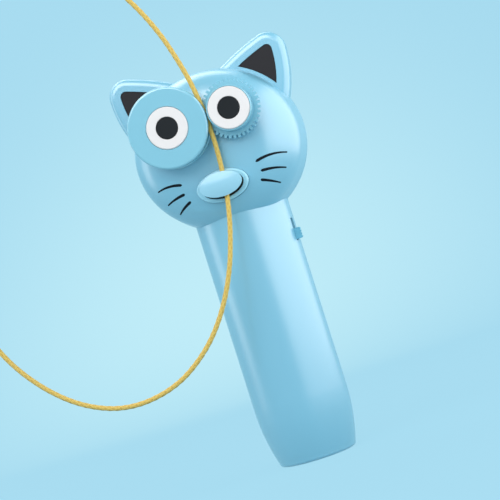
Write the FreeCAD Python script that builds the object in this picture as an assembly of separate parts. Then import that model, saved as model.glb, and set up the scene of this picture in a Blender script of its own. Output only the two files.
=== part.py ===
import FreeCAD, Part
import math
import os

# Hand-held string launcher for a cat: two powered wheels in a cat-shaped head pinch a loop of
# string between them and throw it out in front of the face.
# Millimetres. Z up along the handle, the face looks toward -Y, +X is the viewer's right.
# The origin is the centre of the flat base that the toy stands on.

V = FreeCAD.Vector

# Housing sizes
wall = 2.2
seam_gap = 0.3
tongue_height = 1.5
tongue_clearance = 0.1
handle_radius = 21.0
flare_start_z = 27.0
flare_radius = 90.0
base_edge_radius = 1.6
head_centre_z = 140.2
head_half_width = 37.9
head_half_height = 35.3
face_depth = 27.0
back_depth = 23.0
head_edge_radius = 18.0
head_draft = 6.0
crown_gap = 0.48
fit_clearance = 0.1
screw_grip = 0.02
chamfer_limit = 0.55

# Ears. Each outline is a tip circle with two tangent flank arcs, placed from the head.
ear_thickness = 11.0
ear_edge_radius = 3.0
ear_tip_x = head_half_width - 5.2
ear_tip_z = head_centre_z + 34.7
ear_tip_radius = 7.8
ear_inner_angle = 107.0
ear_inner_radius = 101.6
ear_outer_radius = 51.7
ear_inset = 5.45
ear_foot_gap = 1.3
ear_insert_thickness = 0.9
ear_recess_depth = 1.2
ear_insert_clearance = 0.08

# Launching wheels. The string runs in the 2 mm pinch between the left land and the right hub,
# and the right wheel's toothed flange runs in a relief groove of the left wheel.
wheel_centre_x = 13.7
wheel_centre_z = head_centre_z + 13.0
wheel_face_y = -face_depth - 9.2
string_diameter = 2.0
nip_clearance = 0.1
left_land_radius = 15.45
left_flange_radius = left_land_radius + 1.85
left_flange_thickness = 2.6
flange_taper = 0.2
land_width = 2.5
groove_width = 2.0
rear_flange_thickness = 1.2
rim_thickness = 1.4
hub_radius = 2 * wheel_centre_x - left_land_radius - string_diameter - 2 * nip_clearance
tooth_reach = 2.91
tooth_depth = 1.25
tooth_count = 38
tooth_side_clearance = 0.3
tooth_tip_clearance = 0.74
right_flange_radius = hub_radius + tooth_reach
right_flange_thickness = 1.4
left_groove_radius = 2 * wheel_centre_x - right_flange_radius - tooth_tip_clearance
grip_ring_thickness = 0.85
grip_ring_proud = 0.15
hub_sleeve_radius = 3.6
hub_sleeve_clearance = 1.1
sleeve_core_gap = 2.0
shaft_diameter = 2.0
shaft_grip = 0.02
shaft_setback = 3.2
eye_rim = 0.56
eye_clearance = 0.12
eye_radius = hub_radius - grip_ring_proud - eye_rim - eye_clearance
eye_thickness = 1.6
eye_proud = 0.3
pupil_radius = 4.75
pupil_thickness = 0.9
pupil_proud = 0.08
pupil_clearance = 0.05

# Motors and their bracket
motor_diameter = 20.4
motor_flat = 15.4
motor_length = 25.0
motor_front_y = -face_depth + 9.3
motor_boss_diameter = 6.2
motor_boss_height = 1.5
motor_can_wall = 1.0
end_bell_length = 4.0
end_bell_inset = 0.5
terminal_spacing = 13.0
running_clearance = 0.05
sleeve_end_gap = 1.0
bracket_thickness = 2.0
bracket_cradle_depth = 12.0
bracket_wall = 1.5
bracket_shelf_width = 15.0
bracket_half_width = 25.0
bracket_half_height = 11.4
bracket_shell_gap = 0.35
bracket_screw_spacing = 18.0
bracket_screw_diameter = 2.2
bracket_post_radius = 2.8

# Nose guide. A cup with a raised rim holds the cap's stem, and the string passes between the
# rim and the cap.
nose_z = head_centre_z - 16.5
nose_seat_y = -face_depth + 4.3
nose_ring_width = 22.9
nose_ring_height = 13.8
nose_ring_edge_radius = 0.9
nose_ring_front_y = -face_depth - 0.9
nose_hole_width = 17.0
nose_hole_height = 9.8
nose_floor = 1.2
nose_string_room = 1.1
nose_cap_width = 18.6
nose_cap_height = 10.4
nose_cap_rise = 0.5
nose_cap_back_y = nose_ring_front_y - string_diameter - nose_string_room
nose_cap_rim = 0.7
nose_cap_dome = 1.0
nose_stem_width = 5.6
nose_stem_height = 5.0
nose_stem_x = -4.4
nose_screw_x = 5.2
nose_screw_diameter = 2.16
nose_screw_head = 4.4
nose_screw_boss_radius = 2.1
nose_screw_boss_height = 2.7

# Slide switch in the right side of the handle
switch_y = -3.95
slot_bottom_z = head_centre_z - 47.8
slot_length = 10.0
slot_width = 3.0
knob_length = 4.9
knob_width = 2.7
knob_reach = 2.4
knob_travel = 4.0
knob_plate = 1.1
knob_end_gap = 0.4
knob_wall_gap = 0.35
knob_pin = 1.8
switch_case_length = 13.0
switch_case_width = 4.7
switch_case_depth = 3.4
board_thickness = 1.6
board_width = 8.0
board_length = 24.0
board_notch = 1.0
rib_thickness = 1.5
rib_reach = 7.05
shelf_depth = 8.0

# Battery compartment. Two cells lie side by side behind and the third in front of them, and
# the rear two touch the wall of the handle but for the clearance.
cell_diameter = 14.5
cell_length = 50.5
cell_gap = 0.5
cell_row_gap = 0.335
cell_wall_clearance = 0.214
cell_clearance = 0.3
cell_bottom_z = 25.0
cell_nub_diameter = 5.5
cell_nub_height = 1.2
contact_thickness = 0.4
contact_width = 6.0
contact_length = 12.0
contact_spring_height = 3.1
tray_wall = 1.2
tray_end = 2.5
tray_clearance = 0.35
tray_rib_thickness = 1.5
tray_rib_heights = (13.0, 37.0)
rear_cell_x = (cell_diameter + cell_gap) / 2
rear_cell_reach = handle_radius - wall - cell_wall_clearance - cell_diameter / 2
rear_cell_y = math.sqrt(rear_cell_reach ** 2 - rear_cell_x ** 2)
front_cell_y = rear_cell_y - math.sqrt((cell_diameter + cell_row_gap) ** 2 - rear_cell_x ** 2)
ledge_half_width = 8.0
ledge_thickness = 2.4
ledge_y = handle_radius - 2 * wall
tray_side_y = rear_cell_y
tray_end_y = ledge_y - ledge_thickness - 0.8
trough_bottom_z = cell_bottom_z - contact_spring_height - contact_thickness
trough_top_z = cell_bottom_z + cell_length + contact_thickness
tray_bottom_z = trough_bottom_z - tray_end
tray_top_z = trough_top_z + tray_end

# Battery door. Its lower edge is rolled about the line that it swings on.
door_width = 2 * rear_cell_x + cell_diameter - 0.1
door_bottom_z = tray_bottom_z - 2.7
door_top_z = tray_top_z + 8.3
door_gap = 0.3
door_top_gap = 0.6
door_corner_radius = 3.0
door_roll_radius = 1.1
door_hook_width = 4.0
door_hook_thickness = 1.6
door_hook_reach = 3.5
door_screw_drop = 4.1
door_screw_diameter = 2.2
door_screw_hole = 3.4
door_screw_head = 5.2
door_boss_radius = 3.6
finger_groove_count = 5
finger_groove_pitch = 3.2
finger_groove_top = 18.7
finger_groove_length = 14.0

# Case screws, from behind into bosses of the front shell
case_screw_diameter = 2.4
case_screw_head = 5.2
case_screw_head_height = 1.8
case_screw_seat_y = 4.0
case_screw_length = 12.0
case_boss_wall = 2.0
case_well_wall = 1.4
cheek_screw_x = head_half_width - 12.9
cheek_screw_z = head_centre_z - 12.2
case_screw_sites = [
    (0.0, 8.0), (0.0, door_top_z + 10.8), (-cheek_screw_x, cheek_screw_z), (cheek_screw_x, cheek_screw_z),
    (0.0, head_centre_z + head_half_height - 6.3)]

# String. Centre line of the running loop, from the pinch between the wheels up and round to the
# nose guide and back to the pinch.
string_points = [
    (2.85, -32.2, 154.0), (2.5, -32.35, 164.0), (0.9, -33.0, 176.5), (-4.4, -34.0, 193.6),
    (-12.6, -34.5, 209.9), (-23.8, -35.0, 225.8), (-39.0, -35.5, 238.3), (-58.3, -36.0, 241.3),
    (-75.6, -36.5, 231.9), (-88.4, -37.0, 213.4), (-99.6, -37.0, 188.6), (-109.4, -37.0, 161.2),
    (-117.2, -36.5, 133.1), (-119.2, -36.0, 106.2), (-113.4, -35.5, 82.9), (-100.6, -35.0, 65.0),
    (-85.4, -34.4, 52.3), (-66.5, -33.7, 46.4), (-46.0, -33.0, 51.0), (-28.6, -32.6, 61.9),
    (-16.5, -32.4, 74.2), (-7.2, -31.9, 89.0), (-0.9, -30.6, 104.4), (1.5, -29.6, 117.4),
    (1.9, -29.6, 130.2), (2.35, -32.0, 142.6), (2.85, -32.2, 153.4)]


def box(x0, x1, y0, y1, z0, z1):
    return Part.makeBox(x1 - x0, y1 - y0, z1 - z0, V(x0, y0, z0))


def disc(radius, y0, y1, x, z):
    """Cylinder along Y between y0 and y1."""
    return Part.makeCylinder(radius, y1 - y0, V(x, y0, z), V(0, 1, 0))


def post(radius, z0, z1, x, y):
    """Cylinder along Z between z0 and z1."""
    return Part.makeCylinder(radius, z1 - z0, V(x, y, z0), V(0, 0, 1))


def rounded_wire(corners):
    """Closed wire through (x, y, z, radius) corners, rounded, or chamfered where small."""
    count = len(corners)
    points = [V(*corner[:3]) for corner in corners]
    ends = []
    edges = []
    for i in range(count):
        before = (points[i - 1] - points[i]).normalize()
        after = (points[(i + 1) % count] - points[i]).normalize()
        radius = corners[i][3]
        if radius <= 0:
            ends.append((points[i], points[i], None))
            continue
        half = before.getAngle(after) / 2
        reach = radius / math.tan(half)
        inward = (before + after).normalize()
        middle = points[i] + inward * (radius / math.sin(half) - radius)
        ends.append((points[i] + before * reach, points[i] + after * reach, middle))
    for i in range(count):
        start, finish, middle = ends[i]
        if middle is not None and corners[i][3] > chamfer_limit:
            edges.append(Part.Arc(start, middle, finish).toShape())
        elif middle is not None:
            edges.append(Part.LineSegment(start, finish).toShape())
        following = ends[(i + 1) % count][0]
        if finish.distanceToPoint(following) > 1e-6:
            edges.append(Part.LineSegment(finish, following).toShape())
    return Part.Wire(edges)


def turned(profile, x, z):
    """Solid turned about the line through (x, z) parallel to Y; profile of (r, y, radius)."""
    wire = rounded_wire([(x + r, y, z, radius) for r, y, radius in profile])
    return Part.Face(wire).revolve(V(x, 0, z), V(0, 1, 0), 360)


def fused(first, *others):
    return first.fuse(list(others)).removeSplitter()


def oval(width, height, y0, y1, x, z):
    """Elliptical prism along Y."""
    ellipse = Part.Ellipse(V(x, y0, z), width / 2, height / 2)
    ellipse.Axis = V(0, 1, 0)
    edge = ellipse.toShape()
    return Part.Face(Part.Wire(edge)).extrude(V(0, y1 - y0, 0))


def dome_curve(half_height, depth, edge, side):
    """Seam point, wall end, edge arc and crown arc of one half of the head, in (r, y)."""
    draft = math.radians(head_draft)
    straight = depth - edge * (1 - math.sin(draft)) - crown_gap
    wall_end_r = half_height - straight * math.tan(draft)
    arc_r = wall_end_r - edge * math.cos(draft)
    arc_y = straight - edge * math.sin(draft)
    crown_y = (arc_r ** 2 + arc_y ** 2 - (depth - edge) ** 2) / (2 * (depth - edge - arc_y))
    crown_radius = depth + crown_y
    to_arc = V(arc_r, arc_y + crown_y, 0).normalize()
    join = V(0, -crown_y, 0) + to_arc * crown_radius
    middle = (draft + math.atan2(join.y - arc_y, join.x - arc_r)) / 2
    edge_middle = V(arc_r + edge * math.cos(middle), arc_y + edge * math.sin(middle), 0)
    half_angle = math.atan2(to_arc.x, to_arc.y) / 2
    crown_middle = V(crown_radius * math.sin(half_angle), crown_radius * math.cos(half_angle) - crown_y, 0)
    seam = V(half_height, 0, 0)
    wall_end = V(wall_end_r, straight, 0)
    pole = V(0, depth, 0)
    return [V(p.x, p.y * side, 0) for p in (seam, wall_end, edge_middle, join, crown_middle, pole)]


def head(inset):
    """Pillow-shaped head turned about Y, then stretched sideways to its oval outline."""
    half_height = head_half_height - inset
    centre = V(0, 0, head_centre_z)
    front = dome_curve(half_height, face_depth - inset, head_edge_radius - inset, -1)
    back = dome_curve(half_height, back_depth - inset, head_edge_radius - inset, 1)
    edges = []
    for curve in (front, back):
        seam, wall_end, edge_middle, join, crown_middle, pole = [p + centre for p in curve]
        edges.append(Part.LineSegment(seam, wall_end).toShape())
        edges.append(Part.Arc(wall_end, edge_middle, join).toShape())
        edges.append(Part.Arc(join, crown_middle, pole).toShape())
    edges.append(Part.LineSegment(front[5] + centre, back[5] + centre).toShape())
    profile = Part.Wire(Part.__sortEdges__(edges))
    solid = Part.Face(profile).revolve(centre, V(0, 1, 0), 360)
    stretch = FreeCAD.Matrix()
    stretch.A11 = (head_half_width - inset) / half_height
    return solid.transformGeometry(stretch)


def handle(inset):
    """Round handle drawn in by one long arc toward the base, with its edge rounded outside only."""
    radius = handle_radius - inset
    arc = flare_radius - inset
    edge = base_edge_radius if inset == 0 else 0
    top = head_centre_z - 12.0
    lower = inset + edge
    foot_angle = math.asin((flare_start_z - lower) / arc)

    def on_flare(angle):
        return V(radius - arc * (1 - math.cos(angle)), 0, flare_start_z - arc * math.sin(angle))

    foot = on_flare(foot_angle)
    shoulder = V(radius, 0, flare_start_z)
    base = V(foot.x - edge, 0, inset)
    edges = [Part.LineSegment(V(0, 0, inset), base).toShape()]
    if edge > 0:
        edge_middle = V(foot.x - edge + edge * math.sqrt(0.5), 0, lower - edge * math.sqrt(0.5))
        edges.append(Part.Arc(base, edge_middle, foot).toShape())
    edges.append(Part.Arc(foot, on_flare(foot_angle / 2), shoulder).toShape())
    edges.append(Part.LineSegment(shoulder, V(radius, 0, top)).toShape())
    edges.append(Part.LineSegment(V(radius, 0, top), V(0, 0, top)).toShape())
    edges.append(Part.LineSegment(V(0, 0, top), V(0, 0, inset)).toShape())
    return Part.Face(Part.Wire(edges)).revolve(V(0, 0, 0), V(0, 0, 1), 360)


def ear(inset, y0, y1):
    """Prism of the right ear's outline, drawn in all round by the inset."""
    tip = V(ear_tip_x, y0, ear_tip_z)
    tip_radius = ear_tip_radius - inset

    def on(centre, radius, degrees):
        angle = math.radians(degrees)
        return centre + V(radius * math.cos(angle), 0, radius * math.sin(angle))

    inner_centre = on(tip, ear_inner_radius - ear_tip_radius, ear_inner_angle + 180)
    outer_centre = on(tip, ear_outer_radius - ear_tip_radius, 180)
    inner_radius = ear_inner_radius - inset
    outer_radius = ear_outer_radius - inset
    inner_end = on(inner_centre, inner_radius, ear_inner_angle + 15)
    outer_end = on(outer_centre, outer_radius, -26)
    edges = [
        Part.Arc(inner_end, on(inner_centre, inner_radius, ear_inner_angle + 7.5),
                 on(tip, tip_radius, ear_inner_angle)).toShape(),
        Part.Arc(on(tip, tip_radius, ear_inner_angle), on(tip, tip_radius, ear_inner_angle / 2),
                 on(tip, tip_radius, 0)).toShape(),
        Part.Arc(on(tip, tip_radius, 0), on(outer_centre, outer_radius, -13), outer_end).toShape(),
        Part.LineSegment(outer_end, inner_end).toShape()]
    return Part.Face(Part.Wire(edges)).extrude(V(0, y1 - y0, 0))


def mirrored(shape):
    return shape.mirror(V(0, 0, 0), V(1, 0, 0))


def ears(inset):
    """Both ears, with their edges softened outside only."""
    half = ear_thickness / 2 - inset
    right = ear(inset, -half, half)
    if inset == 0:
        flat = [e for e in right.Edges if e.BoundBox.YLength < 1e-3 and not isinstance(e.Curve, Part.Line)]
        right = right.makeFillet(ear_edge_radius, flat)
    return right, mirrored(right)


def housing(inset):
    """Whole outside of the toy, or its inside drawn in by the inset."""
    return fused(head(inset), handle(inset), *ears(inset))


os.makedirs("parts", exist_ok=True)
parts = {}

outer = housing(0.0)
middle = housing(wall / 2)
groove = housing(wall / 2 - tongue_clearance)
inner = housing(wall)

# ear recesses in front of the ears, ending a little above the head
ear_floor_y = -ear_thickness / 2 + ear_recess_depth
recess = ear(ear_inset, -ear_thickness, ear_floor_y).cut(head(-ear_foot_gap))
insert = ear(ear_inset + ear_insert_clearance, ear_floor_y - ear_insert_thickness, ear_floor_y)
insert = insert.cut(head(-ear_foot_gap - ear_insert_clearance))
parts["right_ear_insert"] = insert
parts["left_ear_insert"] = mirrored(insert)

# two half shells with a reveal at the seam
big = 400.0
seam_front = -seam_gap / 2
seam_rear = seam_gap / 2
shell = outer.cut(inner).cut([recess, mirrored(recess)])
front = shell.common(box(-big, big, -big, seam_front, -1, big))
front = front.cut(groove.common(box(-big, big, seam_front - tongue_height - tongue_clearance, 0, -1, big)))
rear = outer.common(box(-big, big, seam_rear, big, -1, big))
tongue = middle.common(box(-big, big, seam_front - tongue_height, seam_rear + 1.0, -1, big))
rear = fused(rear, tongue).cut(inner)

# front shell: screw bosses, motor posts, nose seat
front_adds = []
front_cuts = []
for x, z in case_screw_sites:
    front_adds.append(disc(case_screw_diameter / 2 + case_boss_wall, -big, 0, x, z).common(middle))
    screw_end_y = case_screw_seat_y - case_screw_length
    front_cuts.append(disc(case_screw_diameter / 2 + screw_grip, screw_end_y - 1.0, 1, x, z))
bracket_y = motor_front_y - bracket_thickness
bracket_screw_sites = (wheel_centre_z + bracket_screw_spacing / 2, wheel_centre_z - bracket_screw_spacing / 2)
for z in bracket_screw_sites:
    front_adds.append(disc(bracket_post_radius, -big, bracket_y, 0, z).common(middle))
    front_cuts.append(disc(bracket_screw_diameter / 2 + screw_grip, bracket_y - 4.5, bracket_y, 0, z))
nose_back_y = nose_seat_y + wall
nose_pad = oval(nose_ring_width + 4.0, nose_ring_height + 4.0, -big, nose_back_y, 0, nose_z)
front_adds.append(nose_pad.common(middle))
nose_seat_width = nose_ring_width + 2 * fit_clearance
nose_seat_height = nose_ring_height + 2 * fit_clearance
front_cuts.append(oval(nose_seat_width, nose_seat_height, -big, nose_seat_y, 0, nose_z))
for x in (nose_stem_x, nose_screw_x):
    front_cuts.append(disc(nose_screw_diameter / 2 + 0.27, nose_seat_y - 1, nose_back_y + 1, x, nose_z))
for side in (-1, 1):
    hole = hub_sleeve_radius + hub_sleeve_clearance
    front_cuts.append(disc(hole, -big, bracket_y, side * wheel_centre_x, wheel_centre_z))

# front shell: shelf under the battery tray, and the two notched ribs that hold the switch board
shelf_top_z = tray_bottom_z - fit_clearance
shelf = middle.common(box(-big, big, -big, -shelf_depth, shelf_top_z - rib_thickness, shelf_top_z))
front_adds.append(shelf)
slot_centre_z = slot_bottom_z + slot_length / 2
wall_x = math.sqrt((handle_radius - wall) ** 2 - (switch_y - slot_width) ** 2)
plate_x = wall_x - knob_wall_gap
case_x = plate_x - knob_plate - fit_clearance
board_x = case_x - switch_case_depth
board_front_y = switch_y - board_width / 2 - 1.0
board_box = (board_x - board_thickness, board_x, board_front_y, board_front_y + board_width)
rib_back_y = seam_front - tongue_height - 2 * tongue_clearance
rib_inner_x = board_box[0] - 2.1
for end in (-1, 1):
    z = slot_centre_z + end * (board_length / 2 + rib_thickness / 2 - board_notch)
    rib_half = rib_thickness / 2
    rib = box(rib_inner_x, big, switch_y - rib_reach, rib_back_y, z - rib_half, z + rib_half)
    front_adds.append(rib.common(middle))
board_room = box(board_box[0] - fit_clearance, board_box[1] + fit_clearance, board_box[2] - fit_clearance,
                 board_box[3] + big, slot_centre_z - board_length / 2 - fit_clearance,
                 slot_centre_z + board_length / 2 + fit_clearance)
front_cuts.append(board_room)
front_cuts.append(box(plate_x - knob_plate, big, switch_y - slot_width / 2, switch_y + slot_width / 2,
                      slot_bottom_z, slot_bottom_z + slot_length))
front = fused(front, *front_adds).cut(front_cuts)
parts["front_shell"] = front

# rear shell: screw wells, battery opening and the ledge that takes the door screw
rear_adds = []
rear_cuts = []
for x, z in case_screw_sites:
    rear_adds.append(disc(case_screw_head / 2 + case_well_wall, 0, big, x, z).common(middle))
    rear_cuts.append(disc(case_screw_diameter / 2 + 0.2, -1, case_screw_seat_y + 1, x, z))
    rear_cuts.append(disc(case_screw_head / 2 + 0.3, case_screw_seat_y, big, x, z))


def door_outline(grow, top_grow):
    """Rounded rectangle prism through the back wall of the handle."""
    half = door_width / 2 + grow
    low = door_bottom_z - grow
    high = door_top_z + top_grow
    radius = door_corner_radius + grow
    corners = [(-half, 4, low, radius), (half, 4, low, radius),
               (half, 4, high, radius), (-half, 4, high, radius)]
    return Part.Face(rounded_wire(corners)).extrude(V(0, handle_radius, 0))


door_screw_z = door_top_z - door_screw_drop
ledge_x = ledge_half_width
ledge_low = door_screw_z - 4.5
ledge_high = door_top_z + 4.5
ledge = box(-ledge_x, ledge_x, ledge_y - ledge_thickness, ledge_y, ledge_low, ledge_high)
ledge_foot = box(-ledge_x, ledge_x, ledge_y - ledge_thickness, big, ledge_high - 2.3, ledge_high)
ledge = fused(ledge, ledge_foot).common(middle)
rear_adds.append(ledge)
rear = fused(rear, *rear_adds[:-1]).cut(door_outline(door_gap, door_top_gap))
rear = fused(rear, ledge)
rear_cuts.append(disc(door_screw_hole / 2, 0, ledge_y + 1, 0, door_screw_z))
parts["rear_shell"] = rear.cut(rear_cuts)

# case screws
screws = []
for x, z in case_screw_sites:
    shank = disc(case_screw_diameter / 2, case_screw_seat_y - case_screw_length, case_screw_seat_y, x, z)
    cap = disc(case_screw_head / 2, case_screw_seat_y, case_screw_seat_y + case_screw_head_height, x, z)
    screws.append(fused(shank, cap))
parts["case_screws"] = Part.makeCompound(screws)

# battery door: a piece of the back wall with two hooks, a screw boss and finger grooves
door = outer.common(door_outline(0, 0)).cut(inner)
door_axis_z = door_bottom_z + door_roll_radius
flare_at_axis = flare_radius - math.sqrt(flare_radius ** 2 - max(flare_start_z - door_axis_z, 0) ** 2)
door_axis_y = handle_radius - flare_at_axis - door_roll_radius
print("door swings about y", round(door_axis_y, 2), "z", round(door_axis_z, 2))
axis_end = V(-door_width / 2, door_axis_y, door_axis_z)
roll = Part.makeCylinder(door_roll_radius, door_width, axis_end, V(1, 0, 0))
corner = box(-door_width / 2, door_width / 2, door_axis_y, big, door_bottom_z - 1, door_axis_z)
door = door.cut(corner.cut(roll))
door_adds = [disc(door_boss_radius, ledge_y + 0.15, handle_radius - wall / 2, 0, door_screw_z)]
hook_back_y = door_axis_y - door_roll_radius - wall
hook_low = door_bottom_z - door_hook_reach
hook_high = door_axis_z + door_roll_radius
hook_front_y = hook_back_y - door_hook_thickness
for x in (-door_hook_width - 2.5, 2.5):
    hook_end = x + door_hook_width
    door_adds.append(box(x, hook_end, hook_front_y, hook_back_y, hook_low, hook_high))
    door_adds.append(box(x, hook_end, hook_front_y, door_axis_y - 0.6, door_bottom_z + 0.4, hook_high))
door = fused(door, *door_adds)
cuts = []
for i in range(finger_groove_count):
    z = door_top_z - finger_groove_top - finger_groove_pitch * i
    start = V(-finger_groove_length / 2, handle_radius + 0.45, z)
    cuts.append(Part.makeCylinder(1.0, finger_groove_length, start, V(1, 0, 0)))
screw_head_y = handle_radius - 1.8
cuts.append(disc(door_screw_head / 2 + 0.3, screw_head_y, big, 0, door_screw_z))
cuts.append(disc(door_screw_diameter / 2 + fit_clearance, 0, big, 0, door_screw_z))
parts["battery_door"] = door.cut(cuts)
screw_cap = disc(door_screw_head / 2, screw_head_y, screw_head_y + 1.3, 0, door_screw_z)
slot = box(-0.4, 0.4, screw_head_y + 0.7, screw_head_y + 2, door_screw_z - 2.2, door_screw_z + 2.2)
cross = box(-2.2, 2.2, screw_head_y + 0.7, screw_head_y + 2, door_screw_z - 0.4, door_screw_z + 0.4)
screw_cap = screw_cap.cut([slot, cross])
screw_shank = disc(door_screw_diameter / 2, ledge_y - 3.0, screw_head_y, 0, door_screw_z)
parts["door_screw"] = fused(screw_cap, screw_shank)

# battery tray: three open troughs between two end walls, with ribs that touch the shell
bore = cell_diameter / 2 + cell_clearance
cell_sites = {"left_cell": (-rear_cell_x, rear_cell_y, 1), "right_cell": (rear_cell_x, rear_cell_y, 1),
              "front_cell": (0.0, front_cell_y, -1)}
flare_drop = max(flare_start_z - tray_bottom_z, 0)
inner_flare = flare_radius - wall
flare_at_tray = inner_flare - math.sqrt(inner_flare ** 2 - flare_drop ** 2)
tray_radius = handle_radius - wall - tray_clearance - flare_at_tray
tray_limit = post(tray_radius, tray_bottom_z, tray_top_z, 0, 0)
tubes = []
cuts = []
low = trough_bottom_z
high = trough_top_z
for x, y, direction in cell_sites.values():
    tubes.append(post(bore + tray_wall, tray_bottom_z, tray_top_z, x, y))
    cuts.append(post(bore, low, high, x, y))
    cuts.append(box(x - bore, x + bore, y, big, low, high))
ends = [post(handle_radius, tray_bottom_z, low, 0, 0), post(handle_radius, high, tray_top_z, 0, 0)]
for height in tray_rib_heights:
    z = cell_bottom_z + height
    rib = post(handle_radius, z - tray_rib_thickness / 2, z + tray_rib_thickness / 2, 0, 0)
    ends.append(rib.common(box(-big, big, -big, 2.0, 0, big)))
tray = fused(*tubes, *ends).cut(cuts).common(tray_limit)
tray = tray.cut([box(-big, big, tray_side_y, big, low, high), box(-big, big, tray_end_y, big, 0, big)])
parts["battery_tray"] = tray

# cells, the front one upside down
for name, (x, y, direction) in cell_sites.items():
    body_length = cell_length - cell_nub_height
    start = cell_bottom_z if direction > 0 else cell_bottom_z + cell_nub_height
    can = post(cell_diameter / 2, start, start + body_length, x, y)
    can = can.makeChamfer(0.5, [e for e in can.Edges if isinstance(e.Curve, Part.Circle)])
    nub_z = start + body_length if direction > 0 else cell_bottom_z
    parts[name] = fused(can, post(cell_nub_diameter / 2, nub_z, nub_z + cell_nub_height, x, y))

# contacts: bent leaves below, flat plates above
leaves = []
plates = []
for x, y, direction in cell_sites.values():
    half = contact_width / 2
    t = contact_thickness
    top = contact_spring_height + t
    reach = contact_length / 2
    outline = [(-reach, low, 0), (reach, low, 0), (reach, low + t, 0.3), (4.0, low + t, 1.0),
               (1.6, low + top, 0.8), (-1.6, low + top, 0.8), (-4.0, low + t, 1.0), (-reach, low + t, 0.3)]
    inside = [(-3.2, low - 1, 0), (3.2, low - 1, 0), (3.2, low + t, 0.6), (1.2, low + top - t, 0.6),
              (-1.2, low + top - t, 0.6), (-3.2, low + t, 0.6)]
    leaf, hollow = [Part.Face(rounded_wire([(x + dx, y - half, z, radius) for dx, z, radius in side]))
                    for side in (outline, inside)]
    leaves.append(leaf.extrude(V(0, contact_width, 0)).cut(hollow.extrude(V(0, contact_width, 0))))
    plates.append(box(x - 4.5, x + 4.5, y - 3.5, y + 3.5, high - t, high))
parts["spring_contacts"] = Part.makeCompound(leaves)
parts["plate_contacts"] = Part.makeCompound(plates)

# switch board, switch and slide button
board = box(*board_box, slot_centre_z - board_length / 2, slot_centre_z + board_length / 2)
parts["switch_board"] = board
case_low = slot_centre_z - switch_case_length / 2
switch_case = box(board_x, case_x, switch_y - switch_case_width / 2, switch_y + switch_case_width / 2,
                  case_low, case_low + switch_case_length)
knob_z = slot_bottom_z + knob_end_gap + knob_length / 2
pin_half = knob_pin / 2
way = box(case_x - 0.9, case_x + 1, switch_y - pin_half - fit_clearance, switch_y + pin_half + fit_clearance,
          knob_z - pin_half - 0.3, knob_z + knob_travel + pin_half + 0.3)
parts["switch_body"] = switch_case.cut(way)
surface_x = math.sqrt(handle_radius ** 2 - switch_y ** 2)
knob_half = knob_length / 2
knob_side = knob_width / 2
knob_top = surface_x + knob_reach
button = Part.Face(rounded_wire([
    (plate_x - 0.2, switch_y, knob_z - knob_half, 0), (knob_top, switch_y, knob_z - knob_half, 0.7),
    (knob_top, switch_y, knob_z + knob_half, 0.7), (plate_x - 0.2, switch_y, knob_z + knob_half, 0)]))
button = button.extrude(V(0, knob_width, 0)).translated(V(0, -knob_side, 0))
for dz in (-1.2, 0, 1.2):
    ridge_start = V(knob_top + 0.05, switch_y - 4, knob_z + dz)
    button = button.cut(Part.makeCylinder(0.3, 8, ridge_start, V(0, 1, 0)))
plate = box(plate_x - knob_plate, plate_x, switch_y - knob_side - 0.9, switch_y + knob_side + 0.7,
            knob_z - knob_half - 1.0, knob_z + knob_half + 1.0)
pin = box(case_x - 0.75, plate_x - 0.2, switch_y - pin_half, switch_y + pin_half,
          knob_z - pin_half, knob_z + pin_half)
parts["switch_knob"] = fused(button, plate, pin)

# motors: flattened cans, rear end bells with two terminals, and shafts that turn with the wheels
motor_rear_y = motor_front_y + motor_length
can_rear_y = motor_rear_y - end_bell_length
shaft_end_y = wheel_face_y + shaft_setback
hub_sleeve_end_y = motor_front_y - motor_boss_height - sleeve_end_gap
for side, name in ((-1, "left"), (1, "right")):
    x = side * wheel_centre_x
    z = wheel_centre_z
    flats = box(x - motor_diameter, x + motor_diameter, -big, big, z - motor_flat / 2, z + motor_flat / 2)
    shaft_room = disc(shaft_diameter / 2 + running_clearance, -big, big, x, z)
    can_radius = motor_diameter / 2
    can_profile = [(0, motor_front_y, 0), (can_radius, motor_front_y, 0.8), (can_radius, can_rear_y, 0),
                   (0, can_rear_y, 0)]
    can = turned(can_profile, x, z).common(flats)
    inside = disc(can_radius - motor_can_wall, motor_front_y + 1.5, can_rear_y + 1, x, z)
    inside = inside.common(box(x - motor_diameter, x + motor_diameter, -big, big,
                               z - motor_flat / 2 + motor_can_wall, z + motor_flat / 2 - motor_can_wall))
    boss = disc(motor_boss_diameter / 2, motor_front_y - motor_boss_height, motor_front_y + 1, x, z)
    parts[name + "_motor_can"] = fused(can, boss).cut([inside, shaft_room])
    bell_half = motor_flat / 2 - end_bell_inset
    bell = disc(motor_diameter / 2 - end_bell_inset, can_rear_y, motor_rear_y, x, z)
    bell = bell.common(box(x - motor_diameter, x + motor_diameter, -big, big, z - bell_half, z + bell_half))
    bell = fused(bell, disc(3.0, motor_rear_y - 0.5, motor_rear_y + 1.0, x, z))
    tabs = []
    for tab_x in (x - terminal_spacing / 2, x + terminal_spacing / 2):
        tabs.append(box(tab_x - 1.2, tab_x + 1.2, motor_rear_y - 0.5, motor_rear_y + 3.0, z - 0.2, z + 0.2))
    parts[name + "_motor_end_bell"] = fused(bell, *tabs).cut(shaft_room)
    parts[name + "_motor_shaft"] = disc(shaft_diameter / 2, shaft_end_y, motor_rear_y + 1.8, x, z)

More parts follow.
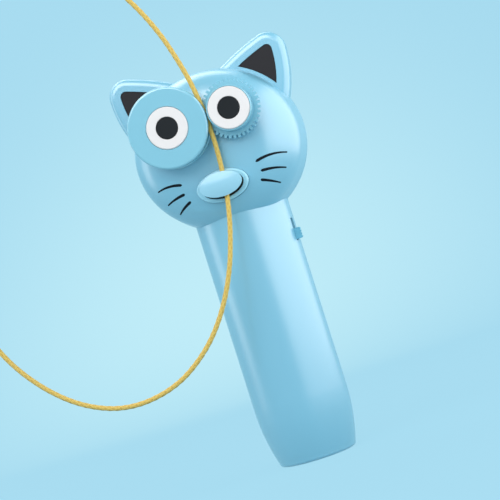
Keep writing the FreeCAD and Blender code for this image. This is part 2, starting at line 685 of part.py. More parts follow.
# motor bracket: one plate with shelves above and below the flats of both cans
bz = wheel_centre_z
shelf_out = motor_flat / 2 + fit_clearance + bracket_wall
low = bz - bracket_half_height
high = bz + bracket_half_height
plate_corners = [(-bracket_half_width, bracket_y, low, 4), (bracket_half_width, bracket_y, low, 4),
                 (bracket_half_width, bracket_y, high, 4), (-bracket_half_width, bracket_y, high, 4)]
bracket = Part.Face(rounded_wire(plate_corners)).extrude(V(0, bracket_thickness, 0))
cradle_y = motor_front_y + bracket_cradle_depth
shelves = []
for side in (-1, 1):
    x = side * wheel_centre_x
    for end in (-1, 1):
        z0, z1 = sorted((bz + end * (motor_flat / 2 + fit_clearance), bz + end * shelf_out))
        half = bracket_shelf_width / 2
        shelves.append(box(x - half, x + half, motor_front_y - 0.5, cradle_y, z0, z1))
bracket = fused(bracket, *shelves).common(head(wall + bracket_shell_gap))
bracket_cuts = []
for side in (-1, 1):
    boss_hole = motor_boss_diameter / 2 + fit_clearance
    bracket_cuts.append(disc(boss_hole, -big, motor_front_y, side * wheel_centre_x, bz))
bracket_screws = []
for z in bracket_screw_sites:
    bracket_cuts.append(disc(bracket_screw_diameter / 2 + 0.15, -big, 0, 0, z))
    shank = disc(bracket_screw_diameter / 2, bracket_y - 4.0, motor_front_y, 0, z)
    bracket_screws.append(fused(shank, disc(2.1, motor_front_y, motor_front_y + 1.5, 0, z)))
parts["motor_bracket"] = bracket.cut(bracket_cuts)
parts["bracket_screws"] = Part.makeCompound(bracket_screws)

# left wheel: front flange, string land, relief for the other wheel's flange, rear flange
shaft_bore = shaft_diameter / 2 + shaft_grip
left_x = -wheel_centre_x
flange_back_y = wheel_face_y + left_flange_thickness
land_back_y = flange_back_y + flange_taper + land_width
groove_back_y = land_back_y + groove_width
rear_flange_y = groove_back_y + rear_flange_thickness
core_radius = left_groove_radius - rim_thickness
sleeve_core_radius = hub_sleeve_radius + sleeve_core_gap
seat_radius = eye_radius + eye_clearance
seat_y = wheel_face_y - eye_proud + eye_thickness
left_profile = [
    (0, seat_y, 0), (seat_radius, seat_y, 0), (seat_radius, wheel_face_y, 0.25),
    (left_flange_radius, wheel_face_y, 0.9), (left_flange_radius, flange_back_y, 0.5),
    (left_land_radius, flange_back_y + flange_taper, 0.1), (left_land_radius, land_back_y, 0.2),
    (left_groove_radius, land_back_y, 0), (left_groove_radius, groove_back_y, 0),
    (left_flange_radius, groove_back_y, 0.4), (left_flange_radius, rear_flange_y, 0.4),
    (core_radius, rear_flange_y, 0.3), (core_radius, seat_y + 2.0, 0.5),
    (sleeve_core_radius, seat_y + 2.0, 0.5), (sleeve_core_radius, rear_flange_y, 0),
    (hub_sleeve_radius, rear_flange_y, 0), (hub_sleeve_radius, hub_sleeve_end_y, 0.4),
    (shaft_bore, hub_sleeve_end_y, 0), (shaft_bore, shaft_end_y - fit_clearance, 0),
    (0, shaft_end_y - fit_clearance, 0)]
parts["left_wheel"] = turned(left_profile, left_x, wheel_centre_z)

# right wheel: small hub with a rubber ring, and a toothed flange that runs in the left relief
right_x = wheel_centre_x
ring_seat = hub_radius - grip_ring_thickness
drum_radius = hub_radius - grip_ring_proud
tooth_front_y = land_back_y + tooth_side_clearance
tooth_back_y = tooth_front_y + right_flange_thickness
ring_y0 = flange_back_y + tooth_side_clearance
ring_y1 = land_back_y - fit_clearance
right_profile = [
    (0, seat_y, 0), (seat_radius, seat_y, 0), (seat_radius, wheel_face_y, 0.15),
    (drum_radius, wheel_face_y, 0.35), (drum_radius, ring_y0, 0), (ring_seat, ring_y0, 0),
    (ring_seat, ring_y1, 0), (drum_radius, ring_y1, 0), (drum_radius, tooth_front_y, 0),
    (right_flange_radius, tooth_front_y, 0), (right_flange_radius, tooth_back_y, 0),
    (hub_sleeve_radius, tooth_back_y, 0), (hub_sleeve_radius, hub_sleeve_end_y, 0.4),
    (shaft_bore, hub_sleeve_end_y, 0), (shaft_bore, shaft_end_y - fit_clearance, 0),
    (0, shaft_end_y - fit_clearance, 0)]
right_wheel = turned(right_profile, right_x, wheel_centre_z)
pitch = 2 * math.pi * right_flange_radius / tooth_count
gap_outer = 0.62 * pitch
gap_inner = 0.3 * pitch
root_radius = right_flange_radius - tooth_depth
gap_face = Part.Face(Part.makePolygon([
    V(right_x + root_radius, 0, wheel_centre_z - gap_inner / 2),
    V(right_x + right_flange_radius + 0.3, 0, wheel_centre_z - gap_outer / 2),
    V(right_x + right_flange_radius + 0.3, 0, wheel_centre_z + gap_outer / 2),
    V(right_x + root_radius, 0, wheel_centre_z + gap_inner / 2),
    V(right_x + root_radius, 0, wheel_centre_z - gap_inner / 2)]))
gap = gap_face.extrude(V(0, right_flange_thickness + 2, 0)).translated(V(0, tooth_front_y - 1, 0))
gaps = []
for i in range(tooth_count):
    one = gap.copy()
    one.rotate(V(right_x, 0, wheel_centre_z), V(0, 1, 0), 360.0 * i / tooth_count)
    gaps.append(one)
parts["right_wheel"] = right_wheel.cut(gaps)
ring_profile = [(ring_seat, ring_y0, 0), (hub_radius, ring_y0, 0.3), (hub_radius, ring_y1, 0.3),
                (ring_seat, ring_y1, 0)]
parts["right_grip_ring"] = turned(ring_profile, right_x, wheel_centre_z)

# eyes: a white disc in each wheel's face and a dark pupil let into it
for side, name in ((-1, "left"), (1, "right")):
    x = side * wheel_centre_x
    front_y = wheel_face_y - eye_proud
    floor_y = front_y - pupil_proud + pupil_thickness
    rim_radius = pupil_radius + pupil_clearance
    white_profile = [(0, seat_y, 0), (0, floor_y, 0), (rim_radius, floor_y, 0),
                     (rim_radius, front_y, 0.1), (eye_radius, front_y, 0.35), (eye_radius, seat_y, 0)]
    parts[name + "_eye_white"] = turned(white_profile, x, wheel_centre_z)
    pupil_y = front_y - pupil_proud
    pupil_profile = [(0, floor_y, 0), (0, pupil_y, 0), (pupil_radius, pupil_y, 0.25),
                     (pupil_radius, floor_y, 0)]
    parts[name + "_pupil"] = turned(pupil_profile, x, wheel_centre_z)

# nose guide: an oval cup seated in the face, and a domed cap on a stem beside the string
ring = oval(nose_ring_width, nose_ring_height, nose_ring_front_y, nose_seat_y, 0, nose_z)
ring_floor_y = nose_seat_y - nose_floor
ring = ring.cut(oval(nose_hole_width, nose_hole_height, nose_ring_front_y - 1, ring_floor_y, 0, nose_z))
rim_edges = [e for e in ring.Edges if e.BoundBox.YMax < nose_ring_front_y + 0.01]
ring = ring.makeFillet(nose_ring_edge_radius, rim_edges)
boss_y = nose_seat_y - nose_screw_boss_height
ring = fused(ring, disc(nose_screw_boss_radius, boss_y, nose_seat_y, nose_screw_x, nose_z))
stem_half = nose_stem_width / 2
stem_high = nose_stem_height / 2


def stem(grow, y0, y1):
    x0 = nose_stem_x - stem_half - grow
    x1 = nose_stem_x + stem_half + grow
    z0 = nose_z - stem_high - grow
    z1 = nose_z + stem_high + grow
    corners = [(x0, y0, z0, 1.2), (x1, y0, z0, 1.2), (x1, y0, z1, 1.2), (x0, y0, z1, 1.2)]
    return Part.Face(rounded_wire(corners)).extrude(V(0, y1 - y0, 0))


ring = ring.cut(stem(fit_clearance, nose_ring_front_y - 1, nose_seat_y + 1))
nose_bore = nose_screw_diameter / 2 + screw_grip
ring = ring.cut(disc(nose_bore, nose_seat_y - 2.2, nose_seat_y + 1, nose_screw_x, nose_z))
parts["nose_ring"] = ring
cap_front_y = nose_cap_back_y - nose_cap_rim
cap_z = nose_z + nose_cap_rise
cap_rim = oval(nose_cap_width, nose_cap_height, cap_front_y, nose_cap_back_y, 0, cap_z)
bulge_radius = ((nose_cap_width / 2) ** 2 + nose_cap_dome ** 2) / (2 * nose_cap_dome)
bulge = Part.makeSphere(bulge_radius, V(0, cap_front_y - nose_cap_dome + bulge_radius, cap_z))
bulge = bulge.common(box(-big, big, -big, cap_front_y, cap_z - nose_cap_width, cap_z + nose_cap_width))
squash = FreeCAD.Matrix()
squash.move(V(0, 0, -cap_z))
squash.scale(V(1, 1, nose_cap_height / nose_cap_width))
squash.move(V(0, 0, cap_z))
bulge = bulge.transformGeometry(squash)
cap = fused(cap_rim, bulge, stem(0, nose_cap_back_y - nose_cap_rim / 2, nose_seat_y))
cap = cap.cut(disc(nose_bore, nose_seat_y - 4.5, nose_seat_y + 1, nose_stem_x, nose_z))
parts["nose_cap"] = cap
nose_screws = []
for x, reach in ((nose_stem_x, 4.3), (nose_screw_x, 2.1)):
    shank = disc(nose_screw_diameter / 2, nose_seat_y - reach, nose_back_y, x, nose_z)
    nose_screws.append(fused(shank, disc(nose_screw_head / 2, nose_back_y, nose_back_y + 1.5, x, nose_z)))
parts["nose_screws"] = Part.makeCompound(nose_screws)


def cord_wire(points):
    """Straight runs joined by tangent arcs, each as large as its two runs allow."""
    edges = []
    radii = []
    start = V(*points[0])
    for i in range(1, len(points) - 1):
        corner = V(*points[i])
        before = V(*points[i - 1]) - corner
        after = V(*points[i + 1]) - corner
        shorter = min(before.Length, after.Length)
        turn = math.pi - before.getAngle(after)
        radius = 0.45 * shorter / math.tan(turn / 2)
        reach = 0.45 * shorter
        first = corner + before.normalize() * reach
        last = corner + after.normalize() * reach
        inward = (first + last) * 0.5 - corner
        middle = corner + inward.normalize() * (radius / math.cos(turn / 2) - radius)
        edges.append(Part.LineSegment(start, first).toShape())
        edges.append(Part.Arc(first, middle, last).toShape())
        radii.append(radius)
        start = last
    edges.append(Part.LineSegment(start, V(*points[-1])).toShape())
    return Part.Wire(edges), radii


def cord_tube(points, diameter):
    path, radii = cord_wire(points)
    section = Part.Wire(Part.makeCircle(diameter / 2, V(*points[0]), path.Edges[0].tangentAt(0)))
    tube = path.makePipeShell([section], True, False, 1)
    expected = math.pi * diameter ** 2 / 4 * path.Length
    print("string radii", [round(r, 1) for r in radii])
    print("string length", round(path.Length, 1), "volume ratio", round(tube.Volume / expected, 4))
    return tube


parts["string_loop"] = cord_tube(string_points, string_diameter)

for name, shape in parts.items():
    shape.exportStep("parts/" + name + ".step")
    print(name, len(shape.Solids), shape.isValid(), round(shape.Volume, 1))
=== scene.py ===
import math

import bpy
from mathutils import Matrix, Vector
from mathutils.bvhtree import BVHTree


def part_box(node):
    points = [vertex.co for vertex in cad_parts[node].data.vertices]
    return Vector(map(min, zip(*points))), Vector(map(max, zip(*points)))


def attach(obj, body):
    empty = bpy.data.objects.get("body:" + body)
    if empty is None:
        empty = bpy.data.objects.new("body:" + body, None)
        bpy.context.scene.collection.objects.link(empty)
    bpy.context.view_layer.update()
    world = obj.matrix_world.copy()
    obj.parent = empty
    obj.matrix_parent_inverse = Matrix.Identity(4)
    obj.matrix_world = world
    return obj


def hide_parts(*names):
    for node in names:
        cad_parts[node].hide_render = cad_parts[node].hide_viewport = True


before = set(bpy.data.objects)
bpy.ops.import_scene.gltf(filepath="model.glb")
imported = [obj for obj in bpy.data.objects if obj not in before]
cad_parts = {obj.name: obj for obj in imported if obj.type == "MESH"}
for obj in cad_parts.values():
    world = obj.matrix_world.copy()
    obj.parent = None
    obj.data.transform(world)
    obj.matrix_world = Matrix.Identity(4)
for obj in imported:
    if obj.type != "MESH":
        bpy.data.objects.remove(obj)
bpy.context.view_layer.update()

# Camera
# A long lens in front of the face, a little to the viewer's right, rolled so that the handle
# leans to the lower right of the picture.
azimuth = math.radians(9.0)
elevation = math.radians(-0.8)
roll = math.radians(17.6)
camera_place = (0.11578, -0.74072, 0.0841)
toward_camera = Vector((math.sin(azimuth) * math.cos(elevation), -math.cos(azimuth) * math.cos(elevation),
                        math.sin(elevation)))
level_right = Vector((math.cos(azimuth), math.sin(azimuth), 0))
level_up = toward_camera.cross(level_right)
picture_right = level_right * math.cos(roll) - level_up * math.sin(roll)
picture_up = level_right * math.sin(roll) + level_up * math.cos(roll)
camera_turn = Matrix((picture_right, picture_up, toward_camera)).transposed().to_4x4()
camera_data = bpy.data.cameras.new("camera")
camera_data.sensor_width = 36.0
camera_data.lens = 123.43
camera_data.clip_end = 10.0
camera = bpy.data.objects.new("camera", camera_data)
camera.matrix_world = Matrix.Translation(camera_place) @ camera_turn
bpy.context.scene.collection.objects.link(camera)
bpy.context.scene.camera = camera

# String
# A soft two-millimetre braided polyester cord, tied into one loop. The wheels throw it, so it
# stands in the air as an oval that comes back through the nose guide to the pinch.
string_radius = 0.0011
string_sides = 12
strand_count = 4
braid_lay = 0.0034
braid_relief = 0.05
string_points = [
    (0.00285, -0.0322, 0.154), (0.0019, -0.03235, 0.1638), (-0.0004, -0.033, 0.1763),
    (-0.0052, -0.034, 0.1934), (-0.0131, -0.0345, 0.21), (-0.024, -0.035, 0.2261),
    (-0.0392, -0.0355, 0.2386), (-0.0584, -0.036, 0.2416), (-0.0757, -0.0365, 0.2321),
    (-0.0885, -0.037, 0.2136), (-0.0996, -0.037, 0.1888), (-0.1094, -0.037, 0.1614),
    (-0.1172, -0.0365, 0.1333), (-0.1192, -0.036, 0.1064), (-0.1126, -0.0355, 0.0835),
    (-0.0996, -0.035, 0.0647), (-0.0838, -0.0344, 0.0515), (-0.0653, -0.0337, 0.0451),
    (-0.0442, -0.033, 0.0481), (-0.0275, -0.0326, 0.0588), (-0.0161, -0.0324, 0.072),
    (-0.0074, -0.0319, 0.088), (-0.0022, -0.0306, 0.1039), (0.0007, -0.0296, 0.1171),
    (0.0022, -0.0296, 0.13), (0.0033, -0.032, 0.1425), (0.00285, -0.0322, 0.1534)]
route_curve = bpy.data.curves.new("string_route", "CURVE")
route_curve.dimensions = "3D"
route_curve.resolution_u = 64
route_spline = route_curve.splines.new("NURBS")
route_spline.points.add(len(string_points) - 1)
for point, place in zip(route_spline.points, string_points):
    point.co = (*place, 1)
route_spline.order_u = 3
route_spline.use_endpoint_u = True
route_object = bpy.data.objects.new("string_route", route_curve)
route = [v.co.copy() for v in bpy.data.meshes.new_from_object(route_object).vertices]
bpy.data.objects.remove(route_object)
lengths = [0.0]
for a, b in zip(route, route[1:]):
    lengths.append(lengths[-1] + (b - a).length)

# rings of points along the route, raised where a strand of either hand lies on top
string_verts = []
side = Vector((0, 1, 0))
for i, point in enumerate(route):
    ahead = (route[min(i + 1, len(route) - 1)] - route[max(i - 1, 0)]).normalized()
    side = (side - ahead * side.dot(ahead)).normalized()
    other = ahead.cross(side)
    turn = 2 * math.pi * lengths[i] / braid_lay
    for k in range(string_sides):
        angle = 2 * math.pi * k / string_sides
        weave = max(math.cos(strand_count * angle + turn), math.cos(strand_count * angle - turn))
        reach = string_radius * (1 - braid_relief * (1 - weave))
        string_verts.append(point + (side * math.cos(angle) + other * math.sin(angle)) * reach)
string_faces = []
for start in range(0, len(string_verts) - string_sides, string_sides):
    for k in range(string_sides):
        following = (k + 1) % string_sides
        string_faces.append((start + k, start + following, start + string_sides + following,
                             start + string_sides + k))
tube_faces = len(string_faces)
string_faces.append(tuple(reversed(range(string_sides))))
string_faces.append(tuple(range(len(string_verts) - string_sides, len(string_verts))))


def mesh_piece(name, verts, faces):
    """Smooth mesh made of points and faces, as an object in the scene."""
    mesh = bpy.data.meshes.new(name)
    mesh.from_pydata(verts, [], faces)
    for face in mesh.polygons:
        face.use_smooth = True
    piece = bpy.data.objects.new(name, mesh)
    bpy.context.scene.collection.objects.link(piece)
    return piece


string = mesh_piece("string", string_verts, string_faces)
along = string.data.uv_layers.new(name="along")
for face in string.data.polygons:
    for loop in face.loop_indices:
        index = string.data.loops[loop].vertex_index
        u = (index % string_sides) / string_sides
        if face.index < tube_faces and face.index % string_sides == string_sides - 1 and u == 0:
            u = 1.0
        along.data[loop].uv = (u, lengths[index // string_sides] / braid_lay)


def ink(red, green, blue):
    """Linear colour of a screen colour given in 0 to 255, with full alpha."""
    levels = [v / 255 for v in (red, green, blue)]
    return (*(v / 12.92 if v <= 0.04045 else ((v + 0.055) / 1.055) ** 2.4 for v in levels), 1.0)


def feed(tree, node, inputs):
    """Gives each input of a node its value, or a link where the value is another node's socket."""
    for socket, value in inputs.items():
        if isinstance(value, bpy.types.NodeSocket):
            tree.links.new(value, node.inputs[socket])
        else:
            node.inputs[socket].default_value = value


def add_node(tree, kind, inputs=None, **settings):
    """New shader node with its settings and inputs."""
    node = tree.nodes.new("ShaderNode" + kind)
    for setting, value in settings.items():
        setattr(node, setting, value)
    feed(tree, node, inputs or {})
    return node


def material(name, colour, roughness, finish=None):
    """Material, its Principled shader and its node tree. The finish holds more inputs of the shader."""
    made = bpy.data.materials.new(name)
    made.use_nodes = True
    shader = made.node_tree.nodes["Principled BSDF"]
    feed(made.node_tree, shader, {"Base Color": colour, "Roughness": roughness, **(finish or {})})
    return made, shader, made.node_tree


def dress(made, *pieces):
    """Gives every slot of pieces, or of CAD nodes called by name, one material."""
    for piece in pieces:
        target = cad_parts[piece] if isinstance(piece, str) else piece
        if not target.material_slots:
            target.data.materials.append(made)
        for slot in target.material_slots:
            slot.link = "OBJECT"
            slot.material = made


def reckon(tree, operation, *values):
    """Result of a Math node."""
    return add_node(tree, "Math", dict(enumerate(values)), operation=operation).outputs[0]


def ramp(tree, value, zero_at, one_at, **settings):
    """0 to 1 while the value goes from the one limit to the other."""
    limits = {"Value": value, "From Min": zero_at, "From Max": one_at}
    return add_node(tree, "MapRange", limits, **settings).outputs["Result"]


def mix_colour(tree, mask, below, above):
    """Colour that is below where the mask is 0 and above where it is 1."""
    colours = {"Factor": mask, "A": below, "B": above}
    return add_node(tree, "Mix", colours, data_type="RGBA").outputs["Result"]


def object_place(tree):
    """Place in the object's own metres."""
    return add_node(tree, "TexCoord").outputs["Object"]


# braided polyester: yellow strands, with painted shade in the valleys between them, darker and more orange
# there
string_yellow, shader, tree = material("string_yellow", ink(220, 190, 98), 0.8,
                                       {"Sheen Weight": 0.15, "Sheen Roughness": 0.6})
round_and_along = add_node(tree, "SeparateXYZ", {0: add_node(tree, "UVMap", uv_map="along").outputs["UV"]})
waves = []
for hand in (1, -1):
    phase = reckon(tree, "MULTIPLY_ADD", round_and_along.outputs["X"], strand_count * hand,
                   round_and_along.outputs["Y"])
    waves.append(reckon(tree, "COSINE", reckon(tree, "MULTIPLY", phase, 2 * math.pi)))
shade = ramp(tree, reckon(tree, "MAXIMUM", *waves), zero_at=-0.6, one_at=0.9)
strand_colour_and_shade = mix_colour(tree, shade, below=ink(205, 166, 78), above=ink(220, 189, 95))
fibres = add_node(tree, "TexNoise", {"Vector": object_place(tree), "Scale": 9000.0})
fuzz = add_node(tree, "Bump", {"Height": fibres.outputs["Fac"], "Strength": 0.5, "Distance": 0.00005})
feed(tree, shader, {"Base Color": strand_colour_and_shade, "Normal": fuzz.outputs["Normal"]})
dress(string_yellow, string)
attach(string, "housing")
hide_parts("string_loop")

# Housing
# Two ABS half shells, split along the sides by a fine reveal. They have a satin blue paint with a
# very fine even grain, under a clear pearl coat.


def node_group(name, inputs, outputs):
    """Shader node group with its sockets, and the nodes where they come in and go out."""
    group = bpy.data.node_groups.new(name, "ShaderNodeTree")
    for socket, value in inputs.items():
        kind = "NodeSocketColor" if isinstance(value, tuple) else "NodeSocketFloat"
        group.interface.new_socket(name=socket, in_out="INPUT", socket_type=kind).default_value = value
    for socket, kind in outputs.items():
        group.interface.new_socket(name=socket, in_out="OUTPUT", socket_type=kind)
    return group, group.nodes.new("NodeGroupInput"), group.nodes.new("NodeGroupOutput")


moulded, enter, leave = node_group(
    "moulded_surface",
    {"Colour": (0.5, 0.5, 0.5, 1.0), "Mottle": 0.04, "Grain Scale": 2500.0, "Grain Height": 0.00001,
     "Roughness": 0.4},
    {"Colour": "NodeSocketColor", "Roughness": "NodeSocketFloat", "Normal": "NodeSocketVector"})
place = object_place(moulded)
grain = add_node(moulded, "TexNoise", {"Vector": place, "Scale": enter.outputs["Grain Scale"],
                                       "Detail": 3.0})
relief = add_node(moulded, "Bump", {"Height": grain.outputs["Fac"], "Strength": 0.6,
                                    "Distance": enter.outputs["Grain Height"]})
drift = add_node(moulded, "TexNoise", {"Vector": place, "Scale": 38.0, "Detail": 2.0})
uneven = reckon(moulded, "SUBTRACT", drift.outputs["Fac"], 0.5)
amount = reckon(moulded, "MULTIPLY", uneven, enter.outputs["Mottle"])
tint = add_node(moulded, "HueSaturation", {"Color": enter.outputs["Colour"],
                                           "Value": reckon(moulded, "ADD", amount, 1.0)})
feed(moulded, leave, {"Colour": tint.outputs["Color"], "Normal": relief.outputs["Normal"],
                      "Roughness": reckon(moulded, "ADD", amount, enter.outputs["Roughness"])})


def moulded_plastic(name, colour, roughness, finish=None, mottle=0.04, grain_scale=2500.0,
                    grain_height=0.00001):
    """Plastic with the moulded grain and a slightly uneven colour."""
    made, shader, tree = material(name, colour, roughness, finish)
    values = {"Colour": colour, "Mottle": mottle, "Grain Scale": grain_scale, "Grain Height": grain_height,
              "Roughness": roughness}
    surface = add_node(tree, "Group", values, node_tree=moulded)
    feed(tree, shader, {"Base Color": surface.outputs["Colour"], "Roughness": surface.outputs["Roughness"],
                        "Normal": surface.outputs["Normal"]})
    return made


shell_blue = moulded_plastic("shell_blue", ink(107, 178, 204), 0.5,
                             {"Specular IOR Level": 1.0, "Coat Weight": 1.0, "Coat Roughness": 0.3,
                              "Coat IOR": 2.2})
dress(shell_blue, "front_shell", "rear_shell")

# Whiskers
# Six short strokes of black ink, pad printed on the cheeks. Each is thick and blunt at the end
# near the nose and tapers outward.
print_height = 0.00006
edge_thinning = 0.9
stroke_half_width = 0.000625
stroke_rows = 22
stroke_steps = (-1, -0.5, 0, 0.5, 1)
blunt_start = 0.004
blunt_length = 0.06
taper = 0.52
taper_power = 1.5
before_face = -0.06
strokes = [
    [(0.0163, 0.1289), (0.0231, 0.13), (0.0296, 0.129)],
    [(0.0171, 0.1246), (0.0223, 0.1243), (0.0272, 0.123)],
    [(0.0158, 0.1211), (0.0194, 0.1196), (0.0229, 0.1176)],
    [(-0.0168, 0.1291), (-0.0227, 0.1302), (-0.0285, 0.1296)],
    [(-0.0169, 0.1251), (-0.0216, 0.1244), (-0.0264, 0.123)],
    [(-0.0155, 0.1214), (-0.0194, 0.1197), (-0.0227, 0.1177)]]
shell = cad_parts["front_shell"].data
face_tree = BVHTree.FromPolygons([v.co.copy() for v in shell.vertices],
                                 [tuple(p.vertices) for p in shell.polygons])
whisker_verts = []
whisker_faces = []
for stroke in strokes:
    first, middle, last = (Vector(point) for point in stroke)
    bend = middle * 2 - (first + last) * 0.5
    for i in range(stroke_rows):
        t = i / (stroke_rows - 1)
        x, z = first * (1 - t) ** 2 + bend * (2 * t * (1 - t)) + last * t ** 2
        slope = (bend - first) * (1 - t) + (last - bend) * t
        across = Vector((-slope.y, slope.x)).normalized()
        blunt = math.sqrt(min(1.0, (t + blunt_start) / blunt_length))
        half = stroke_half_width * blunt * (1 - taper * t ** taper_power)
        for step in stroke_steps:
            origin = (x + across.x * half * step, before_face, z + across.y * half * step)
            hit, normal, index, distance = face_tree.ray_cast(origin, (0, 1, 0))
            whisker_verts.append(hit + normal * (print_height * (1 - edge_thinning * abs(step))))
        if i > 0:
            row = len(whisker_verts) - 2 * len(stroke_steps)
            for a in range(row, row + len(stroke_steps) - 1):
                whisker_faces.append((a, a + 1, a + 1 + len(stroke_steps), a + len(stroke_steps)))
whiskers = mesh_piece("whiskers", whisker_verts, whisker_faces)
ink_black = moulded_plastic("ink_black", ink(8, 10, 18), 0.45, {"Specular IOR Level": 0.2},
                            mottle=0.1, grain_scale=3000.0, grain_height=0.000005)
dress(ink_black, whiskers)
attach(whiskers, "housing")

# Ear inserts
# Black ABS plates, each glued in the recess of its ear and cut off below by the curve of the
# head. They are moulded with a satin face.
ear_black = moulded_plastic("ear_black", ink(34, 26, 28), 0.5, {"Specular IOR Level": 0.3},
                            mottle=0.1, grain_scale=1800.0, grain_height=0.00002)
dress(ear_black, "left_ear_insert", "right_ear_insert")

# Launching wheels
# Blue ABS, moulded a little lighter and glossier than the painted shells and pressed on the motor
# shafts. A rubber ring on the small wheel's hub grips the string.
wheel_blue = moulded_plastic("wheel_blue", ink(125, 190, 211), 0.4,
                             {"Coat Weight": 1.0, "Coat Roughness": 0.14, "Coat IOR": 2.0},
                             mottle=0.03, grain_scale=3000.0, grain_height=0.000006)
dress(wheel_blue, "left_wheel", "right_wheel")
grip_rubber = moulded_plastic("grip_rubber", ink(120, 176, 198), 0.7,
                              mottle=0.1, grain_scale=1600.0, grain_height=0.00004)
dress(grip_rubber, "right_grip_ring")

# Eyes
# Glossy white discs pressed into the wheel faces, so that they turn with them. Each has a black
# pupil disc let in flush.
eye_white = moulded_plastic("eye_white", ink(236, 230, 229), 0.3,
                            mottle=0.02, grain_scale=3000.0, grain_height=0.000004)
dress(eye_white, "left_eye_white", "right_eye_white")
pupil_black = moulded_plastic("pupil_black", ink(24, 18, 20), 0.3, {"Specular IOR Level": 0.3},
                              mottle=0.1, grain_scale=3000.0, grain_height=0.000004)
dress(pupil_black, "left_pupil", "right_pupil")

# Nose guide
# A glossy oval ring seated in the face, with painted shade, near black, in its mouth, and a polished domed
# cap that stands off it on a stem so that the string can pass behind.
mouth_half_width = 0.0094
mouth_half_height = 0.0054
mouth_edge = 0.99


def overprint_and_shade(made, mask, colour):
    """Lays a second colour over a moulded plastic where the mask is 1: printed bands, and painted shade."""
    tree = made.node_tree
    printed = mix_colour(tree, mask, below=tree.nodes["Group"].outputs["Colour"], above=colour)
    feed(tree, tree.nodes["Principled BSDF"], {"Base Color": printed})


ring_blue = moulded_plastic("ring_blue", ink(158, 216, 236), 0.25,
                            {"Coat Weight": 1.0, "Coat Roughness": 0.1},
                            mottle=0.02, grain_scale=3000.0, grain_height=0.000004)
tree = ring_blue.node_tree
ring_low, ring_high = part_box("nose_ring")
ring_middle = (Vector(ring_low) + Vector(ring_high)) / 2
from_middle = add_node(tree, "VectorMath", {0: object_place(tree), 1: ring_middle}, operation="SUBTRACT")
rounded = add_node(tree, "VectorMath", {0: from_middle.outputs["Vector"],
                                        1: (1 / mouth_half_width, 0, 1 / mouth_half_height)},
                   operation="MULTIPLY")
oval = add_node(tree, "VectorMath", {0: rounded.outputs["Vector"]}, operation="LENGTH")
# painted shade: the oval mouth of the ring is coloured near black, where it lies in shadow behind the cap
mouth = ramp(tree, oval.outputs["Value"], zero_at=1.0, one_at=mouth_edge)
overprint_and_shade(ring_blue, mouth, ink(20, 22, 26))
dress(ring_blue, "nose_ring")
nose_blue = moulded_plastic("nose_blue", ink(152, 205, 226), 0.3,
                            {"Coat Weight": 0.7, "Coat Roughness": 0.2},
                            mottle=0.02, grain_scale=3000.0, grain_height=0.000004)
dress(nose_blue, "nose_cap")

# Slide switch
# A blue ABS button in a slot at the side of the handle, over a black switch that is soldered to
# its small green board.
switch_blue = moulded_plastic("switch_blue", ink(104, 178, 204), 0.45)
dress(switch_blue, "switch_knob")
switch_black = moulded_plastic("switch_black", ink(30, 30, 32), 0.55,
                               mottle=0.1, grain_scale=1500.0, grain_height=0.00002)
dress(switch_black, "switch_body")
board_green = moulded_plastic("board_green", ink(32, 104, 62), 0.35, mottle=0.15, grain_scale=900.0)
dress(board_green, "switch_board")

# Battery door and screws
# The door is moulded and painted like the shells, and hooks into the rear one. Steel screws sit
# in deep wells.
dress(shell_blue, "battery_door")
brushed, enter, leave = node_group("brushed_metal", {"Roughness": 0.3, "Streaks": 0.15},
                                   {"Roughness": "NodeSocketFloat", "Normal": "NodeSocketVector"})
stretch = add_node(brushed, "Mapping", {"Vector": object_place(brushed), "Scale": (400, 4000, 400)})
streak = add_node(brushed, "TexNoise", {"Vector": stretch.outputs["Vector"], "Scale": 1.0, "Detail": 4.0})
spread = reckon(brushed, "MULTIPLY_ADD", streak.outputs["Fac"], enter.outputs["Streaks"],
                enter.outputs["Roughness"])
scratch = add_node(brushed, "Bump", {"Height": streak.outputs["Fac"], "Strength": 0.3, "Distance": 0.00001})
feed(brushed, leave, {"Roughness": spread, "Normal": scratch.outputs["Normal"]})


def worked_metal(name, colour, roughness, streaks):
    """Bare metal with fine streaks."""
    made, shader, tree = material(name, colour, roughness, {"Metallic": 1.0})
    surface = add_node(tree, "Group", {"Roughness": roughness, "Streaks": streaks}, node_tree=brushed)
    feed(tree, shader, {"Roughness": surface.outputs["Roughness"], "Normal": surface.outputs["Normal"]})
    return made


screw_steel = worked_metal("screw_steel", ink(176, 176, 178), roughness=0.3, streaks=0.15)
dress(screw_steel, "case_screws", "door_screw", "nose_screws", "bracket_screws")

# Motors and what holds them
# Two plated steel cans with steel shafts and white nylon end bells. They lie in a nylon cradle
# that is screwed to the shell.
motor_steel = worked_metal("motor_steel", ink(196, 196, 192), roughness=0.25, streaks=0.2)
dress(motor_steel, "left_motor_can", "right_motor_can", "left_motor_shaft", "right_motor_shaft")
natural_nylon = moulded_plastic("natural_nylon", ink(226, 224, 214), 0.5, mottle=0.05)
dress(natural_nylon, "left_motor_end_bell", "right_motor_end_bell", "motor_bracket")

# Battery compartment
# Three plain cells, each with a lighter band at its upper end, in a black moulded cradle. They
# stand between nickel plated leaf and plate contacts.
band_height = 0.0668
dress(switch_black, "battery_tray")
cell_grey = moulded_plastic("cell_grey", ink(92, 96, 104), 0.3, mottle=0.05)
tree = cell_grey.node_tree
cell_place = add_node(tree, "SeparateXYZ", {0: object_place(tree)})
overprint_and_shade(cell_grey, reckon(tree, "GREATER_THAN", cell_place.outputs["Z"], band_height), ink(205, 207, 210))
dress(cell_grey, "left_cell", "right_cell", "front_cell")
contact_nickel = worked_metal("contact_nickel", ink(204, 200, 190), roughness=0.25, streaks=0.1)
dress(contact_nickel, "spring_contacts", "plate_contacts")
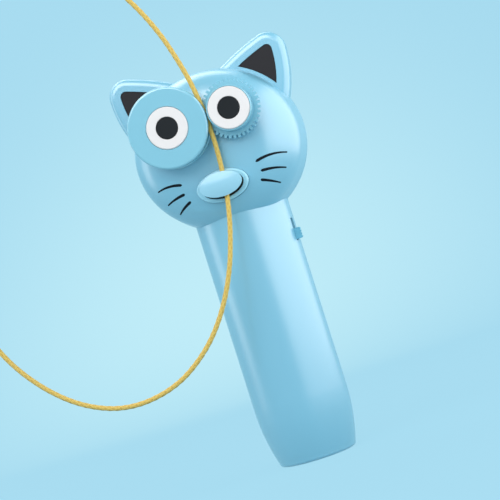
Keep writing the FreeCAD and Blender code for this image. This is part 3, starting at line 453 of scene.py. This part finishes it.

# Floor and backdrop
# One pale blue sweep: a floor that the toy stands on and a wall behind it, with a painted pool of light
# behind the toy. The wall is clear from its back, so that it hides nothing.
floor_front = -1.6
bend_start = 0.45
bend_radius = 0.25
bend_steps = 24
wall_top = 2.2
sweep_half_width = 2.2
pool_centre = (-0.13, 0.70, 0.02)
pool_radius = 0.36
glow_share = 0.9
sweep_profile = [(floor_front, 0.0), (0.0, 0.0)]
for i in range(bend_steps + 1):
    angle = math.pi / 2 * i / bend_steps
    sweep_profile.append((bend_start + bend_radius * math.sin(angle),
                          bend_radius - bend_radius * math.cos(angle)))
sweep_profile.append((bend_start + bend_radius, wall_top))
sweep_verts = []
sweep_faces = []
for y, z in sweep_profile:
    sweep_verts.append((-sweep_half_width, y, z))
    sweep_verts.append((sweep_half_width, y, z))
for i in range(len(sweep_profile) - 1):
    sweep_faces.append((2 * i, 2 * i + 1, 2 * i + 3, 2 * i + 2))
sweep = mesh_piece("sweep", sweep_verts, sweep_faces)


def seen_rays(tree, ray):
    """1 for the rays that show a background: to the camera, in gloss and through glass."""
    seen = ray.outputs["Is Camera Ray"]
    for kind in ("Is Glossy Ray", "Is Transmission Ray"):
        seen = reckon(tree, "MAXIMUM", seen, ray.outputs[kind])
    return seen


def blend_shaders(tree, share, first, second):
    """First shader where the share is 0 and second where it is 1."""
    return add_node(tree, "MixShader", {0: share, 1: first.outputs[0], 2: second.outputs[0]})


sweep_blue = bpy.data.materials.new("sweep_blue")
sweep_blue.use_nodes = True
tree = sweep_blue.node_tree
tree.nodes.remove(tree.nodes["Principled BSDF"])
matt = add_node(tree, "BsdfDiffuse", {"Color": ink(150, 178, 188)})
# painted light: the sweep glows brighter in a pool round a point behind the toy
pool_distance = add_node(tree, "VectorMath", {0: object_place(tree), 1: pool_centre}, operation="DISTANCE")
fade = ramp(tree, pool_distance.outputs["Value"], zero_at=0.0, one_at=pool_radius,
            interpolation_type="SMOOTHSTEP")
painted_pool_colour = mix_colour(tree, fade, below=ink(201, 245, 255), above=ink(170, 224, 245))
glow = add_node(tree, "Emission", {"Color": painted_pool_colour})
ray = add_node(tree, "LightPath")
sweep_face = blend_shaders(tree, reckon(tree, "MULTIPLY", seen_rays(tree, ray), glow_share), matt, glow)
facing = add_node(tree, "NewGeometry")
from_behind = reckon(tree, "MULTIPLY", facing.outputs["Backfacing"], ray.outputs["Is Camera Ray"])
one_sided = blend_shaders(tree, from_behind, sweep_face, add_node(tree, "BsdfTransparent"))
feed(tree, tree.nodes["Material Output"], {"Surface": one_sided.outputs[0]})
dress(sweep_blue, sweep)

# Lamps
# A broad soft key above the front left, a long low box close by at the right, a narrow strip at
# the left and a weak box behind. The world fills the shade and shows the sweep's blue.
world_light = 0.34


def soft_box(name, place, aim, width, tall, power, colour=(1.0, 1.0, 1.0)):
    """Rectangular area lamp that looks at a point."""
    lamp = bpy.data.lights.new(name, "AREA")
    lamp.shape = "RECTANGLE"
    lamp.size = width
    lamp.size_y = tall
    lamp.energy = power
    lamp.color = colour
    holder = bpy.data.objects.new(name, lamp)
    holder.location = place
    holder.rotation_euler = (Vector(aim) - Vector(place)).to_track_quat("-Z", "Y").to_euler()
    holder.visible_camera = False
    bpy.context.scene.collection.objects.link(holder)


soft_box("right_box", place=(0.32, -0.15, 0.23), aim=(0, -0.15, 0.23), width=0.98, tall=0.44, power=2.1,
         colour=(1.0, 0.99, 0.98))
soft_box("left_strip", place=(-0.8, -0.02, 0.30), aim=(0, 0, 0.1), width=0.3, tall=0.9, power=1.2)
soft_box("key_box", place=(-0.38, -0.92, 1.0), aim=(0, 0, 0.12), width=1.4, tall=1.1, power=14.5)
soft_box("back_box", place=(-0.25, 0.56, 0.85), aim=(0, 0, 0.1), width=0.9, tall=0.5, power=3.5)
world = bpy.data.worlds.new("world")
bpy.context.scene.world = world
world.use_nodes = True
tree = world.node_tree
fill = tree.nodes["Background"]
feed(tree, fill, {"Color": (0.97, 0.99, 1.0, 1), "Strength": world_light})
shown = add_node(tree, "Background", {"Color": ink(168, 221, 240)})
air = blend_shaders(tree, seen_rays(tree, add_node(tree, "LightPath")), fill, shown)
feed(tree, tree.nodes["World Output"], {"Surface": air.outputs[0]})
bpy.context.scene.view_settings.view_transform = "Standard"
